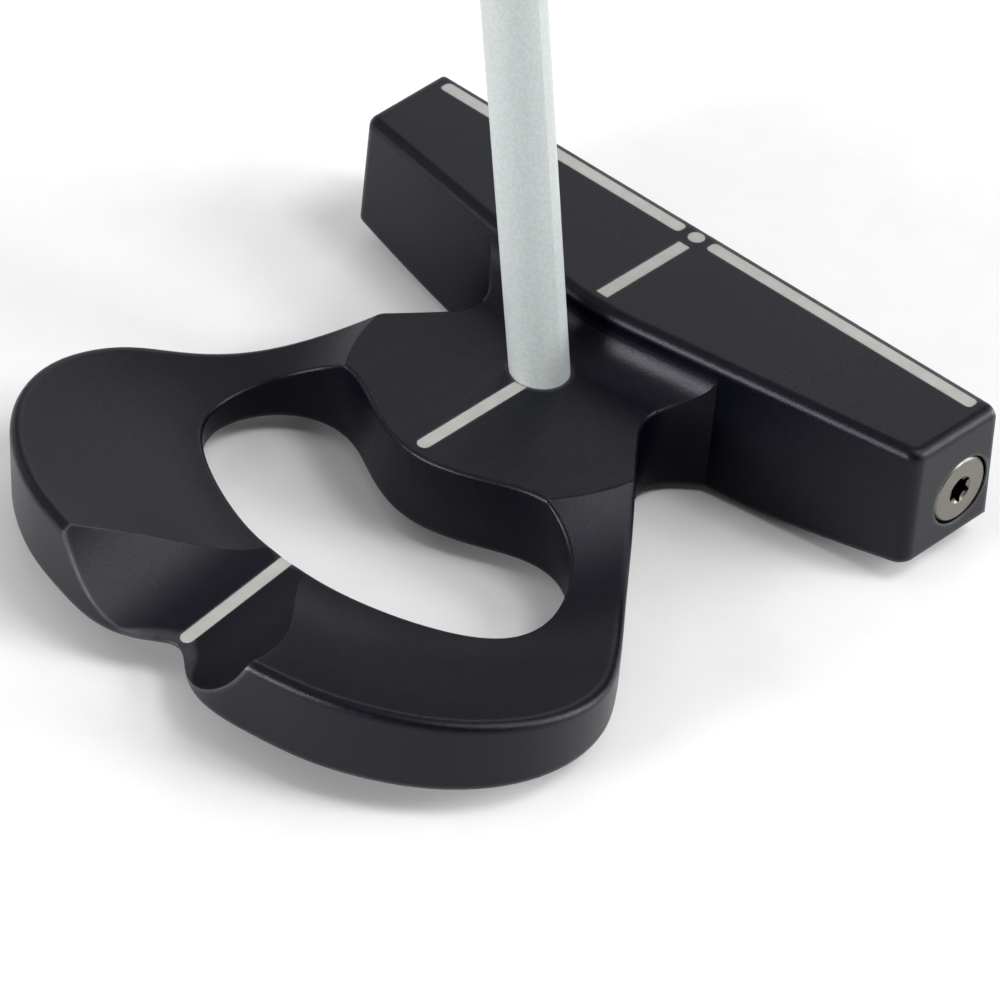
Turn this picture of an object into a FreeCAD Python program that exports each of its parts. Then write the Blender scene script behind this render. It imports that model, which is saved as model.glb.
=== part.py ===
import FreeCAD, Part
import math
import os

from FreeCAD import Rotation, Vector

# Mallet putter, right-handed, millimetres.
# Origin: middle of the flat rest patch of the sole, on the ground.
# +X runs from heel to toe, +Y towards the target (out of the face), +Z up.

# --- front bar -------------------------------------------------------------
BAR_TOP = 24.3             # top of the bar above the ground
BAR_HALF = 56.9            # half length of the bar along its top front edge
FACE_Y = 9.0               # top edge of the face
FACE_LOFT = 3.0            # degrees
END_DRAFTS = {1: 1.5, -1: 4.2}  # degrees, the toe and heel ends lean outward towards the sole
END_SPLAY = 2.4            # degrees, the bar is a little longer at the face
BACK_APEX_Y = -17.4        # where the two back walls would meet in a sharp corner
BACK_SWEEP = 0.162         # rise of the back wall towards the face per mm of X
BACK_BEND_R = 50.0         # soft bend between the two back walls
TOP_R = 1.8                # rounding of the top edge at the back, heel and toe
END_BACK_R = 2.4           # rounding of the vertical corners at heel and toe

# --- sole ------------------------------------------------------------------
REST_HALF_X = 8.0          # half width of the flat rest patch
SOLE_CAMBER_R = 290.0      # camber towards heel and toe
# Sole along the centre plane, front to back: Y and height.
SOLE_PROFILE = [(40.0, 0.0), (-8.0, 0.0), (-12.5, 1.0), (-120.0, 7.1)]

# --- plateau, ring and scoop ------------------------------------------------
PLATEAU_Z = 16.1           # flat deck that holds the shaft
COVE_R = 5.9               # hollow between the deck and the bar
RING_FLOOR_Z = 4.8         # lowest level that the ring top tends to
LOBE_START_X = 8.2         # the ring top rises outward from here
LOBE_RISE = 0.0039         # per mm squared
TAIL_START_Y = -52.7       # the ring top rises rearward from here
TAIL_RISE = 0.0054         # per mm squared
DECK_FLARE_X = -9.9        # centre of the flare that joins the deck to the arms
DECK_FLARE_Y = -28.3
DECK_FLARE_REACH = 61.8    # radius where the flare dies out in the ring top
DECK_FLARE_RISE = 0.0158   # per mm squared
SCOOP_R = 20.2             # round channel in the tail
SCOOP_FALL = 8.8           # degrees, the channel falls rearward
SCOOP_FRONT_Y = -78.8      # front end of the channel floor
SCOOP_FRONT_Z = 9.6
RIM_R = 1.3                # rounding of the ring's outer top edge
WINDOW_RIM_R = 0.6         # rounding of the window's top edge, on the ring and on the deck
DECK_BACK_Y = -57.0        # the deck level holds in front of this line

# --- shaft, bond and grip ----------------------------------------------------
SHAFT_X = -0.6             # where the shaft axis passes through the deck
SHAFT_Y = -26.2
SHAFT_LIE = 77.8           # degrees from the ground, leaning to the heel
SHAFT_LEAN = 2.4           # degrees, leaning to the target
SHAFT_R = 4.6              # outer radius where it enters the deck
SHAFT_TAPER = 0.0034       # growth of the radius per mm of length
SHAFT_BUTT_R = 7.5
SHAFT_WALL = 0.55
SHAFT_DEPTH = 10.5         # length held in the head
BOND_GAP = 0.15
BOND_SINK = 0.3            # the adhesive ends this far below the deck
CLUB_LENGTH = 889.0        # ground to butt along the shaft axis
TIP_PLUG_LENGTH = 8.0
TAPE_THICK = 0.25
TAPE_SETBACK = 3.0         # the tape starts this far inside the grip
GRIP_LENGTH = 267.0
# Grip sections: distance from its lower end, front, back and side half widths.
GRIP_SECTIONS = [
    (0.0, 8.8, 9.2, 9.0), (20.0, 9.2, 10.0, 9.8), (80.0, 9.8, 11.2, 11.0),
    (150.0, 10.4, 12.6, 11.8), (200.0, 10.8, 14.6, 12.2), (236.0, 11.0, 16.6, 12.4),
    (262.0, 10.8, 17.0, 12.2),
]
GRIP_FLATNESS = 3.4        # superellipse power of the thumb side
GRIP_ROUNDNESS = 2.0       # superellipse power of the palm side
GRIP_CORNERS = 20          # points round a section
CAP_THICK = 5.0
CAP_EDGE_R = 2.0
CAP_STEM_LENGTH = 14.0
VENT_R = 1.25

# --- weights -----------------------------------------------------------------
SIDE_Y = 3.2               # axis of the heel and toe weight screws
SIDE_Z = 12.1
SIDE_HEAD_R = 5.4
SIDE_HEAD_BORE_R = 5.7
SIDE_HEAD_THICK = 3.0
SIDE_HEAD_BORE_DEPTH = 3.4
SIDE_SHANK_R = 3.9
SIDE_SHANK_BORE_R = 3.96   # running fit
SIDE_SHANK_END = 14.8      # below the end face
SIDE_BORE_END = 15.6
SIDE_SINK = 0.1            # the screw heads sit this far below the end faces
SIDE_MOUTH = 0.15          # bevel at the mouth of each bore
SIDE_TIP_BEVEL = 0.6
SIDE_BEVEL = 0.3
DRIVE_R = 2.3              # six-lobe socket, tip of a lobe
DRIVE_WAIST_R = 1.6
DRIVE_FLANK_R = 2.0
DRIVE_DEPTH = 2.4
DRIVE_BEVEL = 0.3
PLUG_R = 5.0
BAR_PLUG_DEPTH = 4.6
RING_PLUG_DEPTH = 2.6      # the ring is thin, and keeps about 2.4 above them
PLUG_RECESS = 0.15
PLUG_BEVEL = 0.4
PLUG_DIMPLE_R = 0.9
PLUG_DIMPLE_TIP_R = 0.2
PLUG_PLACES = {
    "bar_heel_outer": (-35.0, -0.5), "bar_heel_inner": (-20.0, -0.5),
    "bar_toe_inner": (20.0, -0.5), "bar_toe_outer": (35.0, -0.5),
    "ring_heel_side": (-43.0, -66.0), "ring_heel_tail": (-21.0, -89.5),
    "ring_toe_tail": (21.0, -89.5), "ring_toe_side": (43.0, -66.0),
}

# --- paint-filled lines -------------------------------------------------------
GROOVE_DEPTH = 0.35
FILL_DROP = 0.05           # the paint sits this far below the metal
LINE_W = 2.2
FRONT_LINE_W = 2.3
FRONT_LINE_Y = 7.2
FRONT_LINE_X = (2.8, 54.1)
FRONT_LINE_CORNER_R = 0.8
DOT_R = 1.35
BAR_LINE_Y = (4.5, -14.1)
DECK_LINE_END_Y = -52.2
TAIL_LINE_END_Y = -98.4
TAIL_LINE_START = 3.0      # the groove starts inside the window

TALL = 200.0               # size of cutting blocks

# Half outlines in plan, from the centre line round to the toe side.
TAIL_OUTLINE = [
    (0.0, -99.2), (4.4, -101.8), (10.5, -104.3), (19.8, -103.6), (28.0, -101.6),
    (35.5, -98.2), (42.5, -93.2), (48.3, -86.2), (51.4, -78.5), (51.8, -71.5),
    (50.2, -65.2), (46.5, -59.0), (38.0, -48.3), (30.0, -38.5), (25.6, -33.4),
    (21.0, -27.8), (18.3, -23.6), (18.0, -20.4), (19.4, -17.4), (22.3, -14.4),
    (25.6, -11.5), (29.0, -8.5),
]
WINDOW_OUTLINE = [
    (0.0, -53.9), (6.5, -52.7), (12.0, -50.3), (17.0, -48.0), (22.5, -47.3),
    (28.2, -49.8), (31.8, -54.8), (32.9, -60.2), (31.9, -64.4), (28.4, -68.4),
    (24.2, -71.1), (17.6, -74.2), (9.4, -77.0), (0.0, -78.4),
]


def shaft_direction():
    """Unit vector up the shaft."""
    x = -math.cos(math.radians(SHAFT_LIE))
    y = math.sin(math.radians(SHAFT_LEAN))
    return Vector(x, y, math.sqrt(1.0 - x * x - y * y))


def shaft_point(distance):
    """Point on the shaft axis, measured from the deck."""
    return Vector(SHAFT_X, SHAFT_Y, PLATEAU_Z) + shaft_direction() * distance


def shaft_radius(distance):
    return min(SHAFT_R + SHAFT_TAPER * distance, SHAFT_BUTT_R)


def half_space(point, normal):
    """Large block that fills the side of a plane that the normal points to."""
    block = Part.makeBox(TALL, TALL, TALL, Vector(-TALL / 2, -TALL / 2, 0))
    turn = Rotation(Vector(0, 0, 1), normal)
    block.Placement = FreeCAD.Placement(point, turn)
    return block


def edges_where(shape, test):
    return [edge for edge in shape.Edges if test(edge)]


def prism(wire, low, high):
    """Plan outline at Z = 0, raised into a solid."""
    face = Part.Face(wire)
    face.translate(Vector(0, 0, low))
    return face.extrude(Vector(0, 0, high - low))


def mirrored(points):
    return [(-x, y) for x, y in points]


def spline(points, closed=False):
    curve = Part.BSplineCurve()
    curve.interpolate(Points=[Vector(x, y, 0) for x, y in points], PeriodicFlag=closed)
    return curve.toShape()


def back_wall_y(x):
    return BACK_APEX_Y + BACK_SWEEP * abs(x)


def back_wall_edges(reach):
    """The bar's back wall in plan, from heel to toe: line, bend, line."""
    lean = math.atan(BACK_SWEEP)
    bend_x = BACK_BEND_R * math.sin(lean)
    bend_y = back_wall_y(bend_x)
    apex_y = bend_y - BACK_BEND_R * (1 - math.cos(lean))
    heel = Vector(-reach, back_wall_y(reach), 0)
    toe = Vector(reach, back_wall_y(reach), 0)
    left = Vector(-bend_x, bend_y, 0)
    right = Vector(bend_x, bend_y, 0)
    bend = Part.Arc(left, Vector(0, apex_y, 0), right).toShape()
    return [Part.makeLine(heel, left), bend, Part.makeLine(right, toe)]


def make_bar():
    reach = BAR_HALF + 10
    back = back_wall_edges(reach)
    front_y = FACE_Y + 10
    heel = back[0].Vertexes[0].Point
    toe = back[2].Vertexes[1].Point
    corners = [toe, Vector(reach, front_y, 0), Vector(-reach, front_y, 0), heel]
    sides = [Part.makeLine(a, b) for a, b in zip(corners, corners[1:])]
    bar = prism(Part.Wire(back + sides), -5, BAR_TOP)
    loft = math.radians(FACE_LOFT)
    face_normal = Vector(0, math.cos(loft), math.sin(loft))
    bar = bar.cut(half_space(Vector(0, FACE_Y, BAR_TOP), face_normal))
    for side in END_DRAFTS:
        bar = bar.cut(half_space(end_corner(side), end_normal(side)))
    return round_bar(bar)


def end_corner(side):
    return Vector(side * BAR_HALF, FACE_Y, BAR_TOP)


def end_normal(side):
    """Unit vector out of the toe end (1) or the heel end (-1) of the bar."""
    draft = math.radians(END_DRAFTS[side])
    splay = math.radians(END_SPLAY)
    normal = Vector(side * math.cos(splay), -math.sin(splay), math.sin(draft))
    return normal.normalize()


def round_bar(bar):
    def upright_back_corner(edge):
        box = edge.BoundBox
        return box.ZLength > 20 and box.YMax < 0

    bar = bar.makeFillet(END_BACK_R, edges_where(bar, upright_back_corner))

    def back_top(edge):
        box = edge.BoundBox
        on_top = box.ZMin > BAR_TOP - 0.01
        return on_top and box.YMax < FACE_Y - 0.5 and box.YMin < back_wall_y(40)

    return bar.makeFillet(TOP_R, edges_where(bar, back_top))


def make_cove():
    """Hollow that joins the deck to the bar's back wall, before the side notches trim it."""
    reach = TAIL_OUTLINE[-1][0]
    path = Part.Wire(back_wall_edges(reach))
    start = path.OrderedVertexes[0].Point
    along = path.OrderedVertexes[1].Point.sub(start).normalize()
    out = Vector(along.y, -along.x, 0)
    base = PLATEAU_Z - 2.0
    bury = out * -3.0
    top = Vector(0, 0, PLATEAU_Z + COVE_R)
    low = Vector(0, 0, base)
    deck = Vector(0, 0, PLATEAU_Z)
    bow = COVE_R * (1 - math.sqrt(0.5))
    middle = start + out * bow + deck + Vector(0, 0, bow)
    foot = start + out * COVE_R
    rim = [
        Part.makeLine(start + bury + low, start + bury + top),
        Part.makeLine(start + bury + top, start + top),
        Part.Arc(start + top, middle, foot + deck).toShape(),
        Part.makeLine(foot + deck, foot + low),
        Part.makeLine(foot + low, start + bury + low),
    ]
    return path.makePipe(Part.Face(Part.Wire(rim)))


def tail_wire():
    """Outline of the deck and ring; its front end lies inside the bar."""
    front = TAIL_OUTLINE[-1]
    points = mirrored(TAIL_OUTLINE[:0:-1]) + TAIL_OUTLINE
    inside_y = -3.0
    a = Vector(front[0], front[1], 0)
    b = Vector(front[0], inside_y, 0)
    c = Vector(-front[0], inside_y, 0)
    d = Vector(-front[0], front[1], 0)
    sides = [Part.makeLine(a, b), Part.makeLine(b, c), Part.makeLine(c, d)]
    return Part.Wire([spline(points)] + sides)


def window_wire():
    points = WINDOW_OUTLINE + mirrored(WINDOW_OUTLINE[-2:0:-1])
    return Part.Wire([spline(points, closed=True)])


def ring_top(x, y):
    """Height of the dished top of the arms and the ring."""
    lobe = LOBE_RISE * max(0.0, abs(x) - LOBE_START_X) ** 2
    tail = TAIL_RISE * min(0.0, y - TAIL_START_Y) ** 2
    reach = math.hypot(abs(x) - DECK_FLARE_X, y - DECK_FLARE_Y)
    flare = DECK_FLARE_RISE * max(0.0, DECK_FLARE_REACH - reach) ** 2
    return RING_FLOOR_Z + lobe + tail + flare


def make_dish_cutter():
    """Everything above the dished top of the arms and the ring."""
    columns = [60.0 * (i / 8 - 1) for i in range(17)]
    rows = [-112.0 + 7.0 * i for i in range(14)]
    grid = [[Vector(x, y, ring_top(x, y)) for y in rows] for x in columns]
    surface = Part.BSplineSurface()
    surface.interpolate(grid)
    return surface.toShape().extrude(Vector(0, 0, TALL))


def make_scoop_cutter():
    fall = math.radians(SCOOP_FALL)
    along = Vector(0, -math.cos(fall), -math.sin(fall))
    up = Vector(0, -math.sin(fall), math.cos(fall))
    start = Vector(0, SCOOP_FRONT_Y, SCOOP_FRONT_Z) + up * SCOOP_R - along * 5
    return Part.makeCylinder(SCOOP_R, 60, start, along)


def make_sole_cutter(lift=0.0):
    """Everything below the sole, optionally raised by a recess."""
    deep = -30.0
    points = [Vector(-TALL, y, z + lift) for y, z in SOLE_PROFILE]
    under = [Vector(-TALL, SOLE_PROFILE[end][0], deep) for end in (-1, 0)]
    rim = Part.makePolygon(points + under + points[:1])
    keel = Part.Face(rim).extrude(Vector(2 * TALL, 0, 0))
    return keel.fuse(make_camber_cutter(lift))


def make_camber_cutter(lift):
    """Everything below the heel-to-toe camber."""
    reach = 70.0
    run = reach - REST_HALF_X

    def camber(x):
        return SOLE_CAMBER_R - math.sqrt(SOLE_CAMBER_R ** 2 - x ** 2) + lift

    y = 40.0
    deep = -30.0
    edges = [Part.makeLine(Vector(-REST_HALF_X, y, lift), Vector(REST_HALF_X, y, lift))]
    for side in (-1, 1):
        inner = Vector(side * REST_HALF_X, y, lift)
        middle = Vector(side * (REST_HALF_X + run / 2), y, camber(run / 2))
        outer = Vector(side * reach, y, camber(run))
        edges.append(Part.Arc(inner, middle, outer).toShape())
        edges.append(Part.makeLine(outer, Vector(side * reach, y, deep)))
    edges.append(Part.makeLine(Vector(-reach, y, deep), Vector(reach, y, deep)))
    wire = Part.Wire(Part.__sortEdges__(edges))
    return Part.Face(wire).extrude(Vector(0, -TALL, 0))


def make_tail():
    """Deck, arms and ring with rounded top rims, before the sole is cut."""
    body = prism(tail_wire(), -5, BAR_TOP)
    body = body.cut(prism(window_wire(), -10, BAR_TOP + 10))
    body = body.cut(make_dish_cutter())
    deck_room = Part.makeBox(TALL, 60, 50, Vector(-TALL / 2, DECK_BACK_Y, PLATEAU_Z))
    body = body.cut(deck_room)

    def ring_rim(edge):
        return edge.Length > 200 and edge.BoundBox.ZMin > 0

    def window_rim(edge):
        box = edge.BoundBox
        return edge.Length > 100 and box.ZMin > 0 and box.YMax < -46

    def deck_rim(edge):
        box = edge.BoundBox
        return box.ZMin > PLATEAU_Z - 0.1 and box.YMax < -46 and box.YLength < 8

    body = body.makeFillet(RIM_R, edges_where(body, ring_rim))
    body = body.makeFillet(WINDOW_RIM_R, edges_where(body, window_rim))
    return body.makeFillet(WINDOW_RIM_R, edges_where(body, deck_rim))


def make_head_blank():
    outline = prism(tail_wire(), 0, BAR_TOP)
    cove = make_cove().common(outline)
    blank = make_bar().fuse([make_tail(), cove]).removeSplitter()
    return blank.cut([make_scoop_cutter(), make_sole_cutter()])


def side_frame(side):
    """Placement of a side screw: origin on the end face, local Z out of it."""
    normal = end_normal(side)
    corner = end_corner(side)
    seen = Vector(0, SIDE_Y, SIDE_Z)
    x = corner.x - normal.dot(seen.sub(Vector(0, corner.y, corner.z))) / normal.x
    origin = Vector(x, SIDE_Y, SIDE_Z)
    return FreeCAD.Placement(origin, Rotation(Vector(0, 0, 1), normal))


def upright(radius, low, high, x=0.0, y=0.0):
    return Part.makeCylinder(radius, high - low, Vector(x, y, low))


def make_side_bore(side):
    head = upright(SIDE_HEAD_BORE_R, -SIDE_HEAD_BORE_DEPTH, 5)
    shank = upright(SIDE_SHANK_BORE_R, -SIDE_BORE_END, 0)
    mouth_r = SIDE_HEAD_BORE_R + SIDE_MOUTH
    low = Vector(0, 0, -SIDE_MOUTH)
    mouth = Part.makeCone(SIDE_HEAD_BORE_R, mouth_r, SIDE_MOUTH, low)
    bore = head.fuse([shank, mouth])
    bore.Placement = side_frame(side)
    return bore


def polar(radius, degrees, z=0.0):
    angle = math.radians(degrees)
    return Vector(radius * math.cos(angle), radius * math.sin(angle), z)


def make_six_lobe(depth):
    """Six-lobe drive socket, from Z = 0 down."""
    edges = []
    for lobe in range(6):
        mid = 60 * lobe
        start = polar(DRIVE_FLANK_R, mid - 12)
        turn = polar(DRIVE_FLANK_R, mid + 12)
        end = polar(DRIVE_FLANK_R, mid + 48)
        edges.append(Part.Arc(start, polar(DRIVE_R, mid), turn).toShape())
        edges.append(Part.Arc(turn, polar(DRIVE_WAIST_R, mid + 30), end).toShape())
    return Part.Face(Part.Wire(edges)).extrude(Vector(0, 0, -depth))


def make_side_screw(side):
    head = upright(SIDE_HEAD_R, -SIDE_HEAD_THICK - SIDE_SINK, -SIDE_SINK)
    head = head.makeChamfer(SIDE_BEVEL, edges_where(head, lambda e: e.BoundBox.ZMin > -1))
    shank = upright(SIDE_SHANK_R, -SIDE_SHANK_END, -SIDE_HEAD_THICK)
    tip = edges_where(shank, lambda e: e.BoundBox.ZMax < -SIDE_SHANK_END + 1)
    shank = shank.makeChamfer(SIDE_TIP_BEVEL, tip)
    screw = head.fuse(shank).removeSplitter()
    socket = make_six_lobe(DRIVE_DEPTH)
    low = Vector(0, 0, -DRIVE_BEVEL)
    lead_in = Part.makeCone(DRIVE_R - DRIVE_BEVEL, DRIVE_R, DRIVE_BEVEL, low)
    for cutter in (socket, lead_in):
        cutter.translate(Vector(0, 0, -SIDE_SINK))
    screw = screw.cut([socket, lead_in])
    screw.Placement = side_frame(side)
    return screw


def sole_height(x, y):
    over = max(0.0, abs(x) - REST_HALF_X)
    camber = SOLE_CAMBER_R - math.sqrt(SOLE_CAMBER_R ** 2 - over ** 2)
    for (y0, z0), (y1, z1) in zip(SOLE_PROFILE, SOLE_PROFILE[1:]):
        if y1 <= y <= y0:
            rise = z0 + (z1 - z0) * (y - y0) / (y1 - y0)
    return max(camber, rise)


def plug_top(x, y):
    """Height of a pressed weight's top."""
    depth = RING_PLUG_DEPTH if y < DECK_BACK_Y else BAR_PLUG_DEPTH
    return sole_height(x, y) + depth


def make_plug_bore(x, y):
    return upright(PLUG_R, -2, plug_top(x, y), x, y)


def make_plug(x, y):
    height = sole_height(x, y)
    plug = upright(PLUG_R, -2, plug_top(x, y), x, y)
    top = edges_where(plug, lambda e: e.BoundBox.ZMin > height)
    plug = plug.makeChamfer(PLUG_BEVEL, top)
    deep = PLUG_DIMPLE_R - PLUG_DIMPLE_TIP_R
    low = Vector(x, y, height + PLUG_RECESS)
    dimple = Part.makeCone(PLUG_DIMPLE_R, PLUG_DIMPLE_TIP_R, deep, low)
    return plug.cut([make_sole_cutter(PLUG_RECESS), dimple])


def rounded_bar(x_range, y_range, corner_r):
    """Flat plan shape with rounded corners, at Z = 0."""
    x0, x1 = x_range
    y0, y1 = y_range
    points = [Vector(x0, y0, 0), Vector(x1, y0, 0), Vector(x1, y1, 0), Vector(x0, y1, 0)]
    plate = Part.Face(Part.makePolygon(points + points[:1])).extrude(Vector(0, 0, 1))
    if corner_r:
        corners = edges_where(plate, lambda e: e.BoundBox.ZLength > 0.5)
        plate = plate.makeFillet(corner_r, corners)
    return min(plate.Faces, key=lambda face: face.CenterOfMass.z)


def line_shapes():
    """Plan face, surface placement and name of each painted line."""
    half = LINE_W / 2
    x0, x1 = FRONT_LINE_X
    front_y = (FRONT_LINE_Y - FRONT_LINE_W / 2, FRONT_LINE_Y + FRONT_LINE_W / 2)
    bar = FreeCAD.Placement(Vector(0, 0, BAR_TOP), Rotation())
    deck = FreeCAD.Placement(Vector(0, 0, PLATEAU_Z), Rotation())
    fall = Rotation(Vector(1, 0, 0), SCOOP_FALL)
    tail = FreeCAD.Placement(Vector(0, SCOOP_FRONT_Y, SCOOP_FRONT_Z), fall)
    dot = Part.Face(Part.Wire(Part.makeCircle(DOT_R, Vector(0, FRONT_LINE_Y, 0))))
    tail_run = (TAIL_LINE_END_Y - SCOOP_FRONT_Y) / math.cos(math.radians(SCOOP_FALL))
    bar_run = (BAR_LINE_Y[1], BAR_LINE_Y[0])
    return {
        "front_line_toe_fill": (rounded_bar((x0, x1), front_y, FRONT_LINE_CORNER_R), bar),
        "front_line_heel_fill": (rounded_bar((-x1, -x0), front_y, FRONT_LINE_CORNER_R), bar),
        "front_dot_fill": (dot, bar),
        "bar_sight_line_fill": (rounded_bar((-half, half), bar_run, 0), bar),
        "deck_sight_line_fill": (round_ended_line(DECK_LINE_END_Y, SHAFT_Y), deck),
        "tail_sight_line_fill": (round_ended_line(tail_run, TAIL_LINE_START), tail),
    }


def round_ended_line(end_y, start_y):
    """Line of paint with a round rear end, running towards the face."""
    half = LINE_W / 2
    round_y = end_y + half
    left = Vector(-half, round_y, 0)
    right = Vector(half, round_y, 0)
    edges = [
        Part.Arc(left, Vector(0, end_y, 0), right).toShape(),
        Part.makeLine(right, Vector(half, start_y, 0)),
        Part.makeLine(Vector(half, start_y, 0), Vector(-half, start_y, 0)),
        Part.makeLine(Vector(-half, start_y, 0), left),
    ]
    return Part.Face(Part.Wire(edges))


def slab(face, placement, low, high):
    """Plan face raised between two levels, then set on its surface."""
    body = face.copy()
    body.translate(Vector(0, 0, low))
    body = body.extrude(Vector(0, 0, high - low))
    body.Placement = placement
    return body


def make_grooves():
    return [slab(face, place, -GROOVE_DEPTH, 1.0) for face, place in line_shapes().values()]


def make_fills(blank):
    """Paint in each groove, trimmed where the head or the shaft ends it."""
    shaft_room = on_shaft(upright(SHAFT_R + BOND_GAP, -SHAFT_DEPTH, SHAFT_DEPTH))
    fills = {}
    for name, (face, place) in line_shapes().items():
        fill = slab(face, place, -GROOVE_DEPTH, -FILL_DROP)
        fills[name] = fill.common(blank).cut(shaft_room)
    return fills


def on_shaft(shape):
    """Moves a shape from shaft coordinates, Z up the shaft from the deck, into the club.

    Local X points away from the golfer, so it faces the thumbs.
    """
    up = shaft_direction()
    side = up.cross(Vector(1, 0, 0)).normalize()
    thumbs = side.cross(up).normalize()
    shape.Placement = FreeCAD.Placement(shaft_point(0), Rotation(thumbs, side, up, "ZXY"))
    return shape


def butt_distance():
    """Distance from the deck to the top of the club, along the shaft."""
    return CLUB_LENGTH - PLATEAU_Z / shaft_direction().z


def cone(low, high, offset):
    """Solid that follows the shaft's taper, offset from its outer surface."""
    full = (SHAFT_BUTT_R - SHAFT_R) / SHAFT_TAPER
    stops = [low] + [full] * (low < full < high) + [high]
    rim = [Vector(shaft_radius(s) + offset, 0, s) for s in stops]
    points = [Vector(0, 0, low)] + rim + [Vector(0, 0, high), Vector(0, 0, low)]
    return Part.Face(Part.makePolygon(points)).revolve(Vector(0, 0, 0), Vector(0, 0, 1), 360)


def make_shaft():
    top = butt_distance() - CAP_THICK
    tube = cone(-SHAFT_DEPTH, top, 0).cut(cone(-SHAFT_DEPTH - 1, top + 1, -SHAFT_WALL))
    return on_shaft(tube)


def make_tip_plug():
    low = -SHAFT_DEPTH
    return on_shaft(cone(low, low + TIP_PLUG_LENGTH, -SHAFT_WALL))


def make_shaft_bore():
    return on_shaft(upright(SHAFT_R + BOND_GAP, -SHAFT_DEPTH - BOND_GAP, 20))


def make_bond():
    """Thin sleeve of adhesive between the shaft tip and the bore."""
    sleeve = upright(SHAFT_R + BOND_GAP, -SHAFT_DEPTH - BOND_GAP, 10)
    sleeve = on_shaft(sleeve.cut(cone(-SHAFT_DEPTH, 11, 0)))
    return sleeve.cut(half_space(Vector(0, 0, PLATEAU_Z - BOND_SINK), Vector(0, 0, 1)))


def grip_low():
    return butt_distance() - GRIP_LENGTH


def make_tape():
    low = grip_low() + TAPE_SETBACK
    top = butt_distance() - CAP_THICK
    return on_shaft(cone(low, top, TAPE_THICK).cut(cone(low - 1, top + 1, 0)))


def grip_outline(front, back, side, z):
    """Closed section, flatter on the thumb side than on the palm side."""
    points = []
    for i in range(GRIP_CORNERS):
        angle = 2 * math.pi * i / GRIP_CORNERS
        c = math.cos(angle)
        s = math.sin(angle)
        power = 2 / (GRIP_FLATNESS if c > 0 else GRIP_ROUNDNESS)
        depth = front if c > 0 else back
        x = math.copysign(depth * abs(c) ** power, c)
        y = math.copysign(side * abs(s) ** power, s)
        points.append(Vector(x, y, z))
    curve = Part.BSplineCurve()
    curve.interpolate(Points=points, PeriodicFlag=True)
    return Part.Wire([curve.toShape()])


def make_grip():
    low = grip_low()
    wires = [grip_outline(f, b, s, low + z) for z, f, b, s in GRIP_SECTIONS]
    sleeve = Part.makeLoft(wires, True, False)
    hole = cone(low - 1, low + GRIP_LENGTH + 1, TAPE_THICK)
    return on_shaft(sleeve.cut(hole))


def make_cap():
    """Butt cap with a stem inside the shaft and a vent hole."""
    top = butt_distance()
    z, front, back, side = GRIP_SECTIONS[-1]
    low = grip_low() + z
    plate = Part.Face(grip_outline(front, back, side, low)).extrude(Vector(0, 0, top - low))
    rim = edges_where(plate, lambda e: e.BoundBox.ZMin > top - 0.5)
    plate = plate.makeFillet(CAP_EDGE_R, rim)
    stem = upright(SHAFT_BUTT_R - SHAFT_WALL, top - CAP_THICK - CAP_STEM_LENGTH, low + 1)
    cap = plate.fuse(stem).removeSplitter()
    return on_shaft(cap.cut(upright(VENT_R, low - 30, top + 1)))


def make_head(blank):
    cutters = make_grooves() + [make_side_bore(side) for side in (-1, 1)]
    cutters += [make_plug_bore(x, y) for x, y in PLUG_PLACES.values()]
    return blank.cut(cutters + [make_shaft_bore()])


def save(name, shape):
    solids = shape.Solids
    body = solids[0] if len(solids) == 1 else Part.makeCompound(solids)
    body.exportStep(f"parts/{name}.step")
    box = body.BoundBox
    size = [round(value, 1) for value in (box.XLength, box.YLength, box.ZLength)]
    print(name, len(solids), body.isValid(), round(body.Volume, 1), size)


def main():
    os.makedirs("parts", exist_ok=True)
    blank = make_head_blank()
    save("head_body", make_head(blank))
    for name, fill in make_fills(blank).items():
        save(name, fill)
    for name, side in (("toe_weight_screw", 1), ("heel_weight_screw", -1)):
        save(name, make_side_screw(side))
    for place, (x, y) in PLUG_PLACES.items():
        save(f"sole_weight_{place}", make_plug(x, y))
    save("shaft", make_shaft())
    save("shaft_tip_plug", make_tip_plug())
    save("shaft_bond", make_bond())
    save("grip_tape", make_tape())
    save("grip", make_grip())
    save("grip_cap", make_cap())


main()
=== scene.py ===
import math

import bpy
from mathutils import Matrix, Vector

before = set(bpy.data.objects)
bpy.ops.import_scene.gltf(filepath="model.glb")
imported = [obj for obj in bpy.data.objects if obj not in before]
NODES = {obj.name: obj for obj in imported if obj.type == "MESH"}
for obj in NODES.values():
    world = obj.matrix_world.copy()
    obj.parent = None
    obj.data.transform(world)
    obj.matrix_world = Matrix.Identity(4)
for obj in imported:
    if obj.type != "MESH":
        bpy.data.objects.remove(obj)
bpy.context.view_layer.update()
SIDE_SCREWS = ("toe_weight_screw", "heel_weight_screw")
SOLE_WEIGHTS = [name for name in NODES if name.startswith("sole_weight_")]
FILLS = [name for name in NODES if name.endswith("_fill")]

MM = 0.001
DECK_Z = 16.1 * MM              # height of the deck's flat
DECK_BACK_Y = -57.0 * MM        # where that flat ends
HEAD_MIDDLE = Vector((0, -0.045, 0.01))

# Camera: where it stands, the picture's right and up, and the lens in mm.
CAMERA_PLACE = Vector((0.27929, -0.35341, 0.35970))
CAMERA_RIGHT = Vector((0.71821, 0.69339, 0.05815))
CAMERA_UP = Vector((-0.48501, 0.43894, 0.75637))
CAMERA_LENS = 133.2

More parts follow.
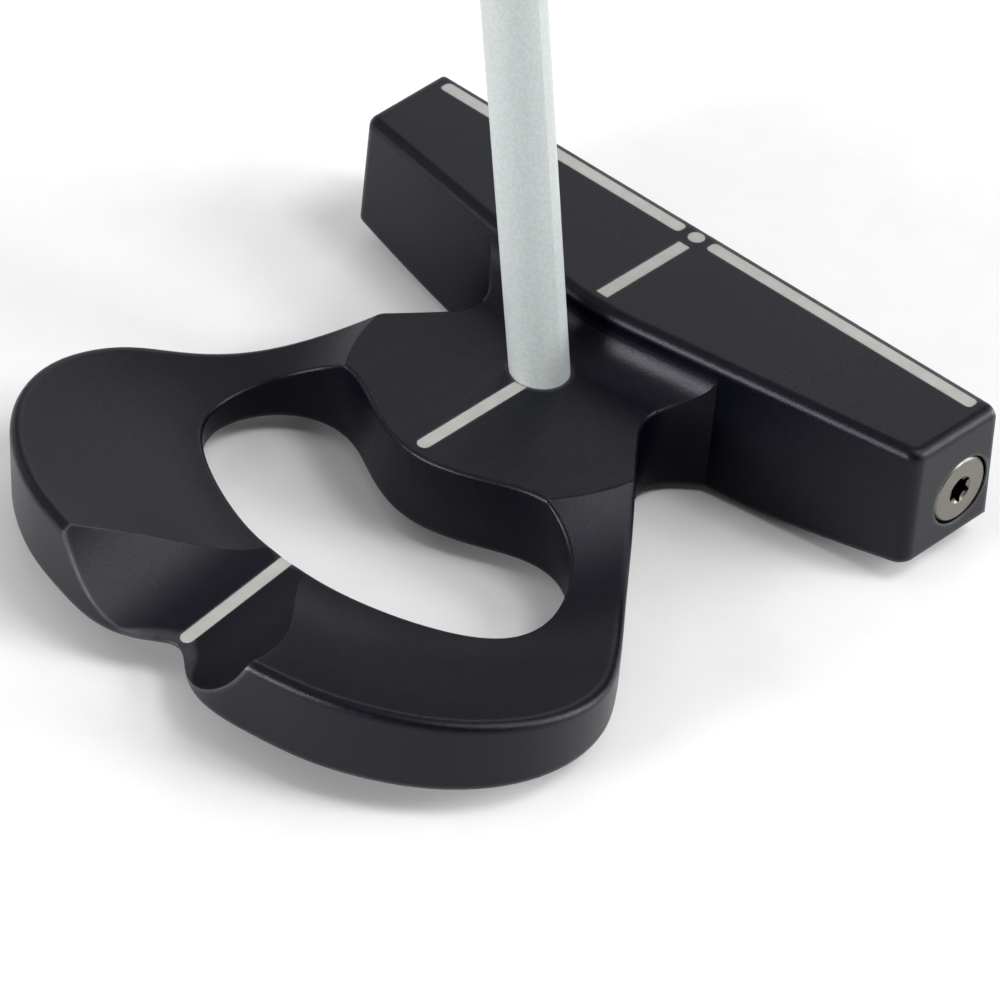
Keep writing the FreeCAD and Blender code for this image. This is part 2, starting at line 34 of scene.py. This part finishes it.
# Colours in linear light. A pair is a finish's two tints, and a pattern mixes them.
ANODISED = ((0.0010, 0.0010, 0.0038), (0.0018, 0.0018, 0.0048))
# Lighter edge colour: partly rubbed anodising, partly a painted highlight.
ANODISED_WEAR_AND_HIGHLIGHT = (0.005, 0.005, 0.007)
ANODISED_SHINE = (0.90, 0.90, 1.0, 1.0)
LINE_GREY = ((0.355, 0.355, 0.335), (0.405, 0.405, 0.38))
SHAFT_GREY = ((0.39, 0.42, 0.414), (0.435, 0.465, 0.459))
RUBBER = ((0.014, 0.014, 0.015), (0.026, 0.026, 0.027))
FLOOR_WHITE = ((0.89, 0.89, 0.89), (0.91, 0.91, 0.91))
SCREW_STEEL = (0.215, 0.202, 0.178)
WEIGHT_STEEL = (0.30, 0.29, 0.28)
# Painted shade inside a screw's drive hole.
PAINTED_SOCKET_SHADE = (0.02, 0.018, 0.016)
EPOXY = (0.05, 0.05, 0.05)
CORK = (0.42, 0.28, 0.16)
PAPER_TAPE = (0.6, 0.55, 0.42)
CAP_PLASTIC = (0.018, 0.018, 0.019)
WORLD_COLOUR = (0.93, 0.95, 1.0, 1)

WEAR_AND_HIGHLIGHT_WIDTH = 1.1 * MM           # how far in from an edge the finish is rubbed and painted lighter as a highlight
NOTCH_REACH = 60 * MM           # how near another wall must be for painted shade on a wall
EDGE_SAMPLES = 6
OCCLUSION_SAMPLES = 8
SCREW_SOCKET = 0.23             # socket's radius, as a share of the screw's width
SCREW_SKIN = 0.03               # depth of the bright rim above the painted shade in the hole, as a share of its length
FLOOR_HALF = 3.0
FLOOR_DROP = 0.0002             # keeps the floor just under the sole
LIGHT_DISTANCE = 1.4
WORLD_STRENGTH = 0.13

LIGHTS = (
    # name, azimuth, elevation, size, watts
    ("toe_low", 25, 14, 0.45, 1.2),
    ("toe_mid", 30, 34, 0.45, 6.8),
    ("toe_high", 20, 62, 0.45, 5.8),
    ("front_low", 50, 8, 0.45, 11.5),
    ("front_mid", 45, 48, 0.70, 2.5),
    ("front_right", 112, 30, 0.45, 1.4),
    ("front_left_low", 135, 20, 0.70, 1.3),
    ("front_left_mid", 135, 48, 0.70, 0.8),
    ("heel_low", 180, 20, 0.70, 1.3),
    ("heel_mid", 180, 48, 0.70, 0.5),
    ("back_left", 225, 48, 0.70, 1.6),
    ("back_left_low", 240, 8, 0.45, 4.5),
    ("back_low", 258, 14, 0.45, 16.5),
    ("above", 0, 85, 0.70, 1.6),
)


# --- node helpers ------------------------------------------------------------

# Slots of the Mix node when it mixes colours.
MIX_A = 6
MIX_B = 7
MIX_RESULT = 2


class Graph:
    """Short way to build a material's nodes."""

    def __init__(self, name):
        self.material = bpy.data.materials.new(name)
        self.material.use_nodes = True
        self.tree = self.material.node_tree
        self.tree.nodes.clear()
        output = self.add("ShaderNodeOutputMaterial")
        self.shader = self.add("ShaderNodeBsdfPrincipled")
        self.put(self.shader, output, "Surface")
        self.where = self.add("ShaderNodeTexCoord").outputs

    def add(self, kind, **settings):
        node = self.tree.nodes.new(kind)
        for key, value in settings.items():
            setattr(node, key, value)
        return node

    def put(self, value, node, into):
        """Link a socket or a node's first output, or set a plain value."""
        if isinstance(value, bpy.types.Node):
            value = value.outputs[0]
        if isinstance(value, bpy.types.NodeSocket):
            self.tree.links.new(value, node.inputs[into])
        else:
            node.inputs[into].default_value = value

    def place(self, scale=(1, 1, 1), turn=(0, 0, 0)):
        """Object coordinates, scaled and turned."""
        node = self.add("ShaderNodeMapping")
        self.put(self.where["Object"], node, "Vector")
        self.put(scale, node, "Scale")
        self.put(turn, node, "Rotation")
        return node

    def split(self, vector):
        """A vector's X, Y and Z, by letter."""
        node = self.add("ShaderNodeSeparateXYZ")
        self.put(vector, node, "Vector")
        return node.outputs

    def shifted(self, operation, vector, by):
        """A vector with another one added or subtracted."""
        node = self.add("ShaderNodeVectorMath", operation=operation)
        self.put(vector, node, 0)
        self.put(by, node, 1)
        return node

    def noise(self, scale, detail=3.0, rough=0.6, at=None):
        """Noise with a scale per metre, over object coordinates unless told where."""
        node = self.add("ShaderNodeTexNoise")
        self.put(at or self.place(), node, "Vector")
        self.put(scale, node, "Scale")
        self.put(detail, node, "Detail")
        self.put(rough, node, "Roughness")
        return node

    def math(self, operation, a, b=0.0, c=0.0):
        node = self.add("ShaderNodeMath", operation=operation)
        for slot, value in enumerate((a, b, c)):
            self.put(value, node, slot)
        return node

    def vary(self, base, *shares):
        """A base value plus a share of each pattern."""
        total = base
        for pattern, share in shares:
            total = self.math("MULTIPLY_ADD", pattern, share, total)
        return total

    def ramp(self, source, low, high, to_low=0.0, to_high=1.0, shape="SMOOTHSTEP"):
        """Goes from one level to the other while the source goes from low to high."""
        node = self.add("ShaderNodeMapRange", interpolation_type=shape)
        for slot, value in enumerate((source, low, high, to_low, to_high)):
            self.put(value, node, slot)
        return node

    def mix(self, factor, a, b):
        """Mix two colours, each a socket or three numbers."""
        node = self.add("ShaderNodeMix", data_type="RGBA")
        self.put(factor, node, 0)
        for colour, slot in ((a, MIX_A), (b, MIX_B)):
            if isinstance(colour, tuple):
                colour = (*colour, 1.0)
            self.put(colour, node, slot)
        return node.outputs[MIX_RESULT]

    def occlusion(self, reach, **settings):
        node = self.add("ShaderNodeAmbientOcclusion", samples=OCCLUSION_SAMPLES, **settings)
        self.put(reach, node, "Distance")
        return node.outputs["AO"]

    def edge(self, radius):
        """Normal that rounds sharp edges off."""
        node = self.add("ShaderNodeBevel", samples=EDGE_SAMPLES)
        self.put(radius, node, "Radius")
        return node

    def bump(self, height, distance, strength, under=None):
        """Normal of a fine relief, laid over another normal if there is one."""
        node = self.add("ShaderNodeBump")
        self.put(height, node, "Height")
        self.put(distance, node, "Distance")
        self.put(strength, node, "Strength")
        if under:
            self.put(under, node, "Normal")
        return node

    def surface(self, colour, rough, normal=None):
        """Feed the shader, and return the finished material."""
        self.put(colour, self.shader, "Base Color")
        self.put(rough, self.shader, "Roughness")
        if normal:
            self.put(normal, self.shader, "Normal")
        return self.material


def shade(colour, share):
    return tuple(share * value for value in colour)


def give(material, *names):
    for name in names:
        mesh = NODES[name]
        mesh.data.materials.clear()
        mesh.data.materials.append(material)


# --- camera ------------------------------------------------------------------

def make_camera():
    data = bpy.data.cameras.new("photo_view")
    data.lens = CAMERA_LENS
    data.sensor_width = 36.0
    data.clip_start = 0.01
    data.clip_end = 20.0
    camera = bpy.data.objects.new("photo_view", data)
    right = CAMERA_RIGHT.normalized()
    up = (CAMERA_UP - right * CAMERA_UP.dot(right)).normalized()
    back = right.cross(up)
    turn = Matrix((right, up, back)).transposed()
    camera.matrix_world = Matrix.Translation(CAMERA_PLACE) @ turn.to_4x4()
    bpy.context.scene.collection.objects.link(camera)
    bpy.context.scene.camera = camera


# --- materials ---------------------------------------------------------------

def black_anodised():
    """Bead-blasted, black anodised aluminium.

    The edges are lighter, partly rubbed and partly a painted highlight, and the deck has
    faint cutter marks.
    """
    g = Graph("black_anodised")
    grain = g.noise(5600, detail=2.0)
    speck = g.noise(1400, rough=0.7)
    smudge = g.noise(45, detail=4.0)
    marks = g.math("MULTIPLY", deck_marks(g), on_deck(g))
    wear_and_highlight = edge_wear_and_highlight(g)
    tint = g.mix(g.ramp(speck, 0.35, 0.7), *ANODISED)
    # Painted highlight: edges get a lighter colour, partly as rubbed anodising.
    tint = g.mix(wear_and_highlight, tint, ANODISED_WEAR_AND_HIGHLIGHT)
    rough = g.vary(0.25, (smudge, 0.08), (speck, 0.08), (marks, 0.04))
    shine = g.vary(0.24, (marks, 0.04), (wear_and_highlight, 0.95))
    # Painted shade: reflection scaled down on walls in a notch or window.
    shine = g.math("MULTIPLY", shine, painted_wall_shade(g))
    g.put(shine, g.shader, "Specular IOR Level")
    g.put(ANODISED_SHINE, g.shader, "Specular Tint")
    blast = g.bump(grain, 0.046 * MM, 1.0, g.edge(0.2 * MM))
    cut = g.bump(marks, 0.004 * MM, 0.8, blast)
    return g.surface(tint, rough, cut)


def painted_wall_shade(g):
    """1 on tops and open walls, down to 0 on walls in a notch or window, where it scales
    the reflection down as painted shade.
    """
    seen = g.ramp(g.occlusion(NOTCH_REACH, only_local=True), 0.62, 1.0, shape="LINEAR")
    normal = g.add("ShaderNodeNewGeometry").outputs["True Normal"]
    upward = g.ramp(g.split(normal)["Z"], 0.1, 0.35, shape="LINEAR")
    return g.math("MAXIMUM", seen, upward)


def edge_wear_and_highlight(g):
    """Up to 1 along outer edges, broken up a little, 0 on flats and in hollows; it lightens
    edges, partly as rubbed anodising, partly as a painted highlight.
    """
    worn_and_lit = g.ramp(g.occlusion(WEAR_AND_HIGHLIGHT_WIDTH, inside=True), 0.45, 0.85, 1.0, 0.0)
    patchy = g.ramp(g.noise(500), 0.3, 0.6, 0.7, 1.0)
    return g.math("MULTIPLY", worn_and_lit, patchy)


def deck_marks(g):
    """Fine streaks along the sight line, gently curved."""
    sway = g.add("ShaderNodeCombineXYZ")
    bend = g.noise(14, detail=1.0, rough=0.5)
    g.put(g.math("MULTIPLY", bend, 1.2 * MM), sway, "X")
    along = g.place(scale=(1.0, 0.07, 0.2), turn=(0, 0, 0.3))
    streaks = g.noise(1300, detail=2.0, at=g.shifted("ADD", along, sway))
    return g.ramp(streaks, 0.5, 0.72)


def on_deck(g):
    """1 on the deck's flat, 0 a little above or below it and behind it."""
    place = g.split(g.where["Object"])
    away = g.math("ABSOLUTE", g.math("SUBTRACT", place["Z"], DECK_Z))
    level = g.ramp(away, 0.05 * MM, 0.15 * MM, 1.0, 0.0)
    ahead = g.math("GREATER_THAN", place["Y"], DECK_BACK_Y)
    return g.math("MULTIPLY", level, ahead)


def line_paint():
    g = Graph("line_paint")
    fine = g.noise(2600)
    tint = g.mix(g.ramp(g.noise(260), 0.3, 0.7), *LINE_GREY)
    return g.surface(tint, g.vary(0.45, (fine, 0.2)), g.bump(fine, 0.02 * MM, 0.5))


def shaft_paint():
    g = Graph("shaft_paint")
    fine = g.noise(2400, rough=0.65)
    flake = g.noise(1900, detail=2.0, rough=0.5)
    tint = g.mix(g.ramp(flake, 0.35, 0.65), *SHAFT_GREY)
    return g.surface(tint, g.vary(0.34, (fine, 0.16)), g.bump(fine, 0.012 * MM, 0.4))


def turned_steel(name, along, tint, hole=0.0, skin=0.0):
    """Steel with lathe rings round one axis, and painted shade in the drive hole.

    The hole's radius is a share of the piece's width. The painted shade starts below
    the end face, at the skin's share of the piece's length.
    """
    g = Graph(name)
    place = g.split(g.shifted("SUBTRACT", g.where["Generated"], (0.5, 0.5, 0.5)))
    across = "XYZ".replace(along, "")
    squares = [g.math("POWER", place[letter], 2.0) for letter in across]
    radius = g.math("SQRT", g.math("ADD", *squares))
    rings = g.add("ShaderNodeTexNoise", noise_dimensions="1D")
    g.put(radius, rings, "W")
    g.put(70, rings, "Scale")
    g.put(4.0, rings, "Detail")
    fine = g.noise(2200)
    colour = g.mix(g.ramp(g.noise(300), 0.3, 0.7), tint, shade(tint, 0.86))
    colour = g.mix(g.ramp(rings, 0.35, 0.65, 0.0, 0.5), colour, shade(tint, 0.75))
    depth = g.math("ABSOLUTE", place[along])
    below = g.ramp(depth, 0.5 - skin - 0.01, 0.5 - skin, 1.0, 0.0)
    near = g.ramp(radius, hole, hole + 0.02, 1.0, 0.0)
    # Painted shade: the drive hole's inside is darkened.
    colour = g.mix(g.math("MULTIPLY", below, near), colour, PAINTED_SOCKET_SHADE)
    g.put(1.0, g.shader, "Metallic")
    rough = g.vary(0.25, (fine, 0.12), (rings, 0.12))
    cut = g.bump(rings, 0.02 * MM, 0.6, g.edge(0.1 * MM))
    return g.surface(colour, rough, g.bump(fine, 0.01 * MM, 0.4, cut))


def grip_rubber():
    """Dull moulded rubber with a fine pebbled skin, a little paler where hands rub it."""
    g = Graph("grip_rubber")
    pebbles = g.add("ShaderNodeTexVoronoi", feature="SMOOTH_F1")
    g.put(g.place(), pebbles, "Vector")
    g.put(900, pebbles, "Scale")
    fine = g.noise(2600)
    rubbed = g.ramp(g.noise(28, rough=0.55), 0.42, 0.68)
    rough = g.vary(0.62, (rubbed, -0.12), (fine, 0.12))
    skin = g.bump(pebbles, 0.12 * MM, 0.8)
    dust = g.bump(fine, 0.02 * MM, 0.5, skin)
    return g.surface(g.mix(rubbed, *RUBBER), rough, dust)


def plain(name, colour, rough):
    """One colour with a fine grain."""
    g = Graph(name)
    fine = g.noise(1500)
    tint = g.mix(g.ramp(fine, 0.3, 0.7), colour, shade(colour, 0.85))
    return g.surface(tint, g.vary(rough, (fine, 0.15)), g.bump(fine, 0.03 * MM, 0.5))


def floor_paper():
    g = Graph("floor_paper")
    return g.surface(g.mix(g.ramp(g.noise(90), 0.3, 0.7), *FLOOR_WHITE), 0.8)


# --- floor and light ---------------------------------------------------------

def make_floor():
    half = FLOOR_HALF
    corners = [(-half, -half, 0), (half, -half, 0), (half, half, 0), (-half, half, 0)]
    mesh = bpy.data.meshes.new("floor")
    mesh.from_pydata(corners, [], [(0, 1, 2, 3)])
    mesh.materials.append(floor_paper())
    floor = bpy.data.objects.new("floor", mesh)
    floor.location.z = -FLOOR_DROP
    bpy.context.scene.collection.objects.link(floor)


def softbox(name, azimuth, elevation, size, power):
    """Square light aimed at the head from a direction; azimuth 0 is +X, 90 is +Y."""
    a = math.radians(azimuth)
    e = math.radians(elevation)
    away = Vector((math.cos(a) * math.cos(e), math.sin(a) * math.cos(e), math.sin(e)))
    data = bpy.data.lights.new(name, "AREA")
    data.shape = "SQUARE"
    data.size = size
    data.energy = power
    lamp = bpy.data.objects.new(name, data)
    lamp.location = HEAD_MIDDLE + away * LIGHT_DISTANCE
    lamp.rotation_mode = "QUATERNION"
    lamp.rotation_quaternion = (-away).to_track_quat("-Z", "Y")
    bpy.context.scene.collection.objects.link(lamp)


def make_world():
    world = bpy.data.worlds.new("studio")
    world.use_nodes = True
    background = world.node_tree.nodes["Background"]
    background.inputs["Color"].default_value = WORLD_COLOUR
    background.inputs["Strength"].default_value = WORLD_STRENGTH
    bpy.context.scene.world = world


# --- the scene ---------------------------------------------------------------

make_camera()
give(black_anodised(), "head_body")
give(line_paint(), *FILLS)
give(shaft_paint(), "shaft")
give(turned_steel("screw_steel", "X", SCREW_STEEL, SCREW_SOCKET, SCREW_SKIN), *SIDE_SCREWS)
give(turned_steel("weight_steel", "Z", WEIGHT_STEEL), *SOLE_WEIGHTS)
give(plain("epoxy", EPOXY, 0.3), "shaft_bond")
give(plain("cork", CORK, 0.8), "shaft_tip_plug")
give(plain("paper_tape", PAPER_TAPE, 0.8), "grip_tape")
give(grip_rubber(), "grip")
give(plain("cap_plastic", CAP_PLASTIC, 0.4), "grip_cap")
make_floor()
for light in LIGHTS:
    softbox(*light)
make_world()
bpy.context.scene.view_settings.view_transform = "Standard"
